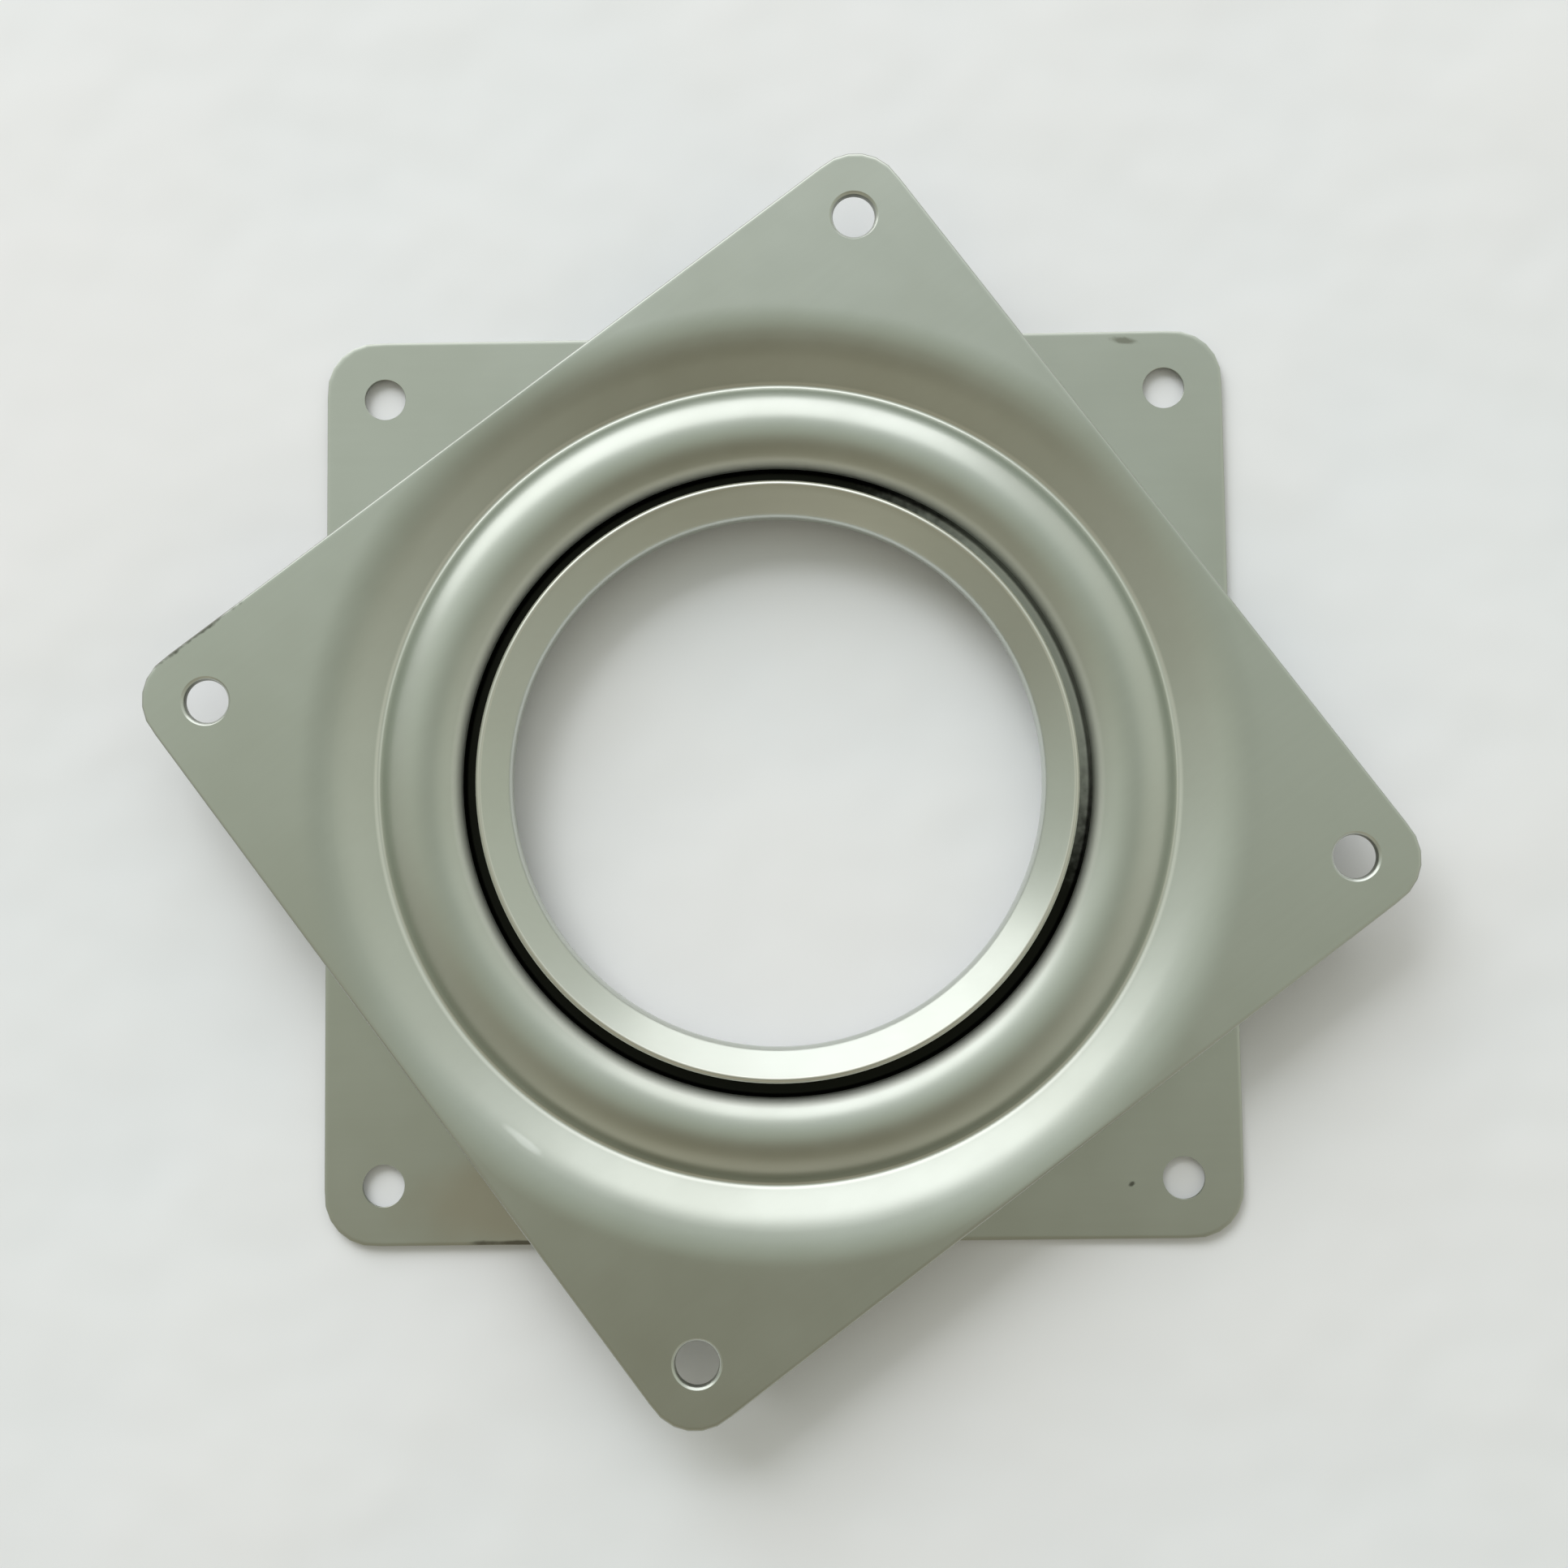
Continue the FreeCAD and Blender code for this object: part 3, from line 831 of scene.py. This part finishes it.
ballLook = {
    "filmScale": 400.0,
    "darker": (0.62, 0.62, 0.60),
    "paler": (0.74, 0.745, 0.75),
    "roughness": (0.1, 0.2),
}


def makeBallSteel(groups):
    material, tree, shader = newMaterial("ballSteel")
    place = newNode(tree, "ShaderNodeTexCoord").outputs["Object"]
    ballFilmAndGrooveShade = useGroup(tree, groups["cloud"], Scale=ballLook["filmScale"])
    wire(tree, place, ballFilmAndGrooveShade.inputs["Vector"])
    ballFilmAndGrooveShade = ballFilmAndGrooveShade.outputs["Mask"]
    wire(tree, blend(tree, ballFilmAndGrooveShade, ballLook["darker"], ballLook["paler"]), shader.inputs["Base Color"])
    wire(tree, blendValue(tree, ballFilmAndGrooveShade, *ballLook["roughness"]), shader.inputs["Roughness"])
    shader.inputs["Metallic"].default_value = 1.0
    return material


# Paper, window and room

studio = {
    "paper": (0.832, 0.828, 0.86),
    "paperSize": 6.0,
    "paperTop": -0.00005,            # just clear of the plate's underside
    "paperCool": (0.975, 0.99, 1.01),
    "paperWarm": (1.015, 0.995, 1.0),
    "paperWideScale": 9.0,
    "paperFineScale": 38.0,
    "paperFineAmount": 0.35,
    "paperRoughness": 0.9,
    "paperSpecular": 0.1,
    "paperWaveStrength": 0.5,
    "paperWaveHeight": 0.0016,
    "windowPlace": (-0.42, 0.80, 0.56),
    "windowTurn": (90, 0, 180),      # degrees
    "windowSize": (1.7, 1.1),
    "windowRadiance": 0.88,          # comes on top of the room behind it
    "skyPlace": (-1.8, 3.2, 2.1),    # lights the paper, and isn't seen in the metal
    "skySize": 2.8,
    "skyWatts": 122.0,
    "skyColour": (0.95, 1.0, 0.985),
}


def makePaper(groups):
    deselectAll()
    bpy.ops.mesh.primitive_plane_add(size=studio["paperSize"], location=(0, 0, studio["paperTop"]))
    paper = bpy.context.object
    paper.name = "paper_floor"
    material, tree, shader = newMaterial("whitePaper")
    place = newNode(tree, "ShaderNodeTexCoord").outputs["Object"]
    wide = useGroup(tree, groups["cloud"], Scale=studio["paperWideScale"])
    fine = useGroup(tree, groups["cloud"], Scale=studio["paperFineScale"])
    wire(tree, place, wide.inputs["Vector"])
    wire(tree, place, fine.inputs["Vector"])
    base = studio["paper"]
    cool, warm = (tuple(value * tint for value, tint in zip(base, studio[key]))
                  for key in ("paperCool", "paperWarm"))
    colour = blend(tree, wide.outputs["Mask"], cool, warm)
    colour = blend(tree, timesValue(tree, fine.outputs["Mask"], studio["paperFineAmount"]), colour, base)
    wire(tree, colour, shader.inputs["Base Color"])
    shader.inputs["Roughness"].default_value = studio["paperRoughness"]
    shader.inputs["Specular IOR Level"].default_value = studio["paperSpecular"]
    bump = newNode(tree, "ShaderNodeBump")
    bump.inputs["Strength"].default_value = studio["paperWaveStrength"]
    bump.inputs["Distance"].default_value = studio["paperWaveHeight"]
    wire(tree, wide.outputs["Mask"], bump.inputs["Height"])
    wire(tree, bump.outputs["Normal"], shader.inputs["Normal"])
    paper.data.materials.append(material)


def areaLight(name, place, width, height, watts):
    data = bpy.data.lights.new(name, "AREA")
    data.shape = "RECTANGLE"
    data.size = width
    data.size_y = height
    data.energy = watts
    light = bpy.data.objects.new(name, data)
    light.location = place
    bpy.context.scene.collection.objects.link(light)
    return light


def makeLights():
    width, height = studio["windowSize"]
    watts = studio["windowRadiance"] * math.pi * width * height
    window = areaLight("windowLight", studio["windowPlace"], width, height, watts)
    window.rotation_euler = [math.radians(angle) for angle in studio["windowTurn"]]
    skySize = studio["skySize"]
    sky = areaLight("skyLight", studio["skyPlace"], skySize, skySize, studio["skyWatts"])
    sky.rotation_euler = (-Vector(studio["skyPlace"])).to_track_quat("-Z", "Y").to_euler()
    sky.data.color = studio["skyColour"]
    sky.visible_glossy = False


# What the metal mirrors besides the window: dark and warm towards -Y, paler above and to the right.
# Places run from 0 to 1 along an axis.
roomLook = {
    "depth": [(0.0, (0.44, 0.42, 0.34)), (0.095, (0.39, 0.37, 0.29)), (0.16, (0.25, 0.235, 0.17)),
              (0.3, (0.215, 0.20, 0.145)), (0.4, (0.28, 0.275, 0.215)), (0.5, (0.415, 0.445, 0.37)),
              (0.58, (0.455, 0.49, 0.42)), (0.68, (0.55, 0.595, 0.54)), (1.0, (0.74, 0.76, 0.75))],
    "width": [(0.0, (1.05, 1.05, 1.05)), (0.06, (1.1, 1.1, 1.1)), (0.25, (1.25, 1.25, 1.25)),
              (0.375, (1.13, 1.13, 1.13)), (0.5, (1.0, 1.0, 1.0)), (0.625, (0.95, 0.96, 0.96)),
              (0.75, (1.18, 1.18, 1.17)), (0.94, (1.45, 1.45, 1.42)), (1.0, (1.4, 1.4, 1.37))],
    "sideShare": [(0.0, 0.4), (0.1, 0.45), (0.25, 0.2), (0.35, 0.0), (0.62, 0.0), (0.72, 0.25),
                  (0.85, 0.6), (1.0, 0.7)],
    "sideWall": (0.56, 0.575, 0.50),
}


def makeRoom():
    world = bpy.data.worlds.new("room")
    bpy.context.scene.world = world
    world.use_nodes = True
    tree = world.node_tree
    direction = newNode(tree, "ShaderNodeTexCoord").outputs["Generated"]
    split = newNode(tree, "ShaderNodeSeparateXYZ")
    wire(tree, direction, split.inputs["Vector"])

    def along(axis, stops):
        share = newNode(tree, "ShaderNodeMapRange")
        share.inputs["From Min"].default_value = -1
        share.inputs["From Max"].default_value = 1
        wire(tree, split.outputs[axis], share.inputs["Value"])
        return ramp(tree, stops, share.outputs["Result"])

    product = newNode(tree, "ShaderNodeMix", data_type="RGBA", blend_type="MULTIPLY")
    product.inputs["Factor"].default_value = 1.0
    wire(tree, along("Y", roomLook["depth"]), product.inputs[6])
    wire(tree, along("X", roomLook["width"]), product.inputs[7])
    sides = along("X", [(place, (share,) * 3) for place, share in roomLook["sideShare"]])
    colour = blend(tree, sides, product.outputs[2], roomLook["sideWall"])
    wire(tree, colour, tree.nodes["Background"].inputs["Color"])


# Making everything

groups = {"cloud": cloudGroup(), "grain": grainGroup(), "spot": spotGroup(), "ring": ringGroup()}
makeCamera()
makePaper(groups)
makeLights()
makeRoom()
print("camera, paper and lights are in place")

ballSteel = makeBallSteel(groups)
lowerZinc = makeZinc("zincLowerPlate", 0.0, lowerMarks, groups)
upperZinc = makeZinc("zincUpperPlate", pressing["topPlateTurn"], upperMarks, groups)
for plate, zinc in ((makeBasePlate(), lowerZinc), (makeTopPlate(), upperZinc)):
    plate.data.materials.clear()
    plate.data.materials.append(zinc)
for ballName in frame["record"]["behaviour"]["bodies"]["ball_row"]:
    for materialSlot in frame["nodes"][ballName].material_slots:
        materialSlot.material = ballSteel
print("plates and balls are dressed")

bpy.context.scene.view_settings.view_transform = "Standard"
